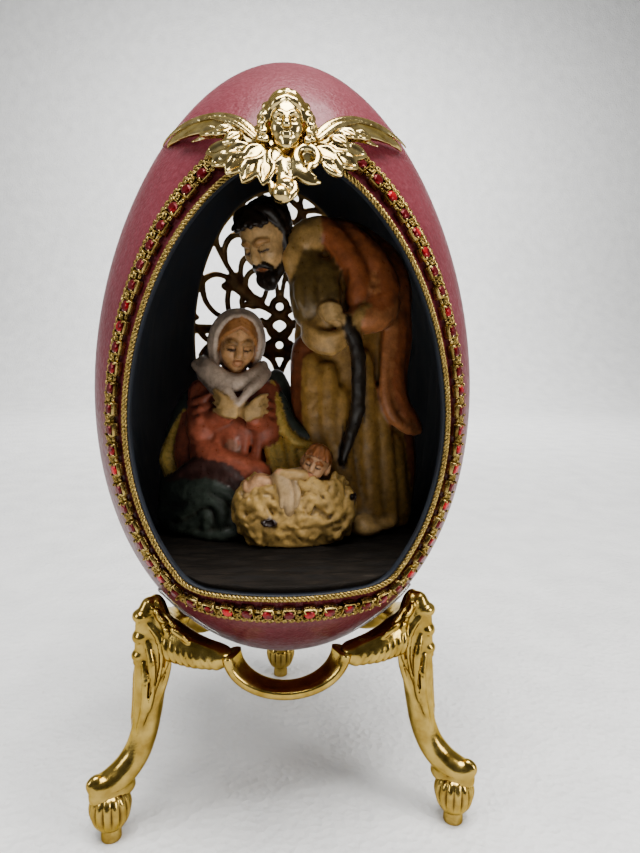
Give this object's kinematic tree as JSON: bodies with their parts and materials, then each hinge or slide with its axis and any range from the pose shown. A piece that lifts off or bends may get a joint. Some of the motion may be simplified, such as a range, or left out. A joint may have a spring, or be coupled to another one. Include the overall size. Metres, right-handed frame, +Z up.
{
  "type": "decorated goose egg diorama on a stand",
  "caption": "Cut-out goose egg holding small figures, with jewelled trim and a pierced rear panel, on a three-legged stand.",
  "frame": {"origin": "on the floor under the middle of the whole object's box", "axes": "+Z up, the front window faces -Y"},
  "size_m": [0.0584, 0.061, 0.1142],
  "materials": {
    "shell": "dusty rose pearl enamel over a goose eggshell, fine orange peel",
    "inner_paint": "brushed dark navy paint",
    "ground": "dark brown modelling paste, dry-brushed",
    "antique_brass": "antiqued stamping",
    "gold_thread": "metallic gold thread",
    "chain_gold": "gold plate",
    "ruby": "cut glass, foiled back",
    "polished_gold": "bright pale gold plate",
    "painted_resin": "hand-painted cast resin with a brown wash",
    "straw_resin": "cast resin painted straw yellow",
    "stand_gold": "gold-plated casting",
    "clear_glue": "dried clear glue"
  },
  "bodies": {
    "root": {"egg_shell": "shell", "inner_paint_coat": "inner_paint", "ground_slab": "ground", "rear_filigree": "antique_brass", "opening_cord": "gold_thread", "outer_braid": "gold_thread", "chain_cups": "chain_gold", "chain_links": "chain_gold", "chain_stones": "ruby", "cherub_finding": "polished_gold", "standing_figure": "painted_resin", "kneeling_figure": "painted_resin", "infant_figure": "painted_resin", "straw_bed": "straw_resin", "stand_leg_1": "stand_gold", "stand_swag_1": "stand_gold", "ball_foot_1": "stand_gold", "glue_bead_1": "clear_glue", "stand_leg_2": "stand_gold", "stand_swag_2": "stand_gold", "ball_foot_2": "stand_gold", "glue_bead_2": "clear_glue", "stand_leg_3": "stand_gold", "stand_swag_3": "stand_gold", "ball_foot_3": "stand_gold", "glue_bead_3": "clear_glue"}
  },
  "joints": []
}
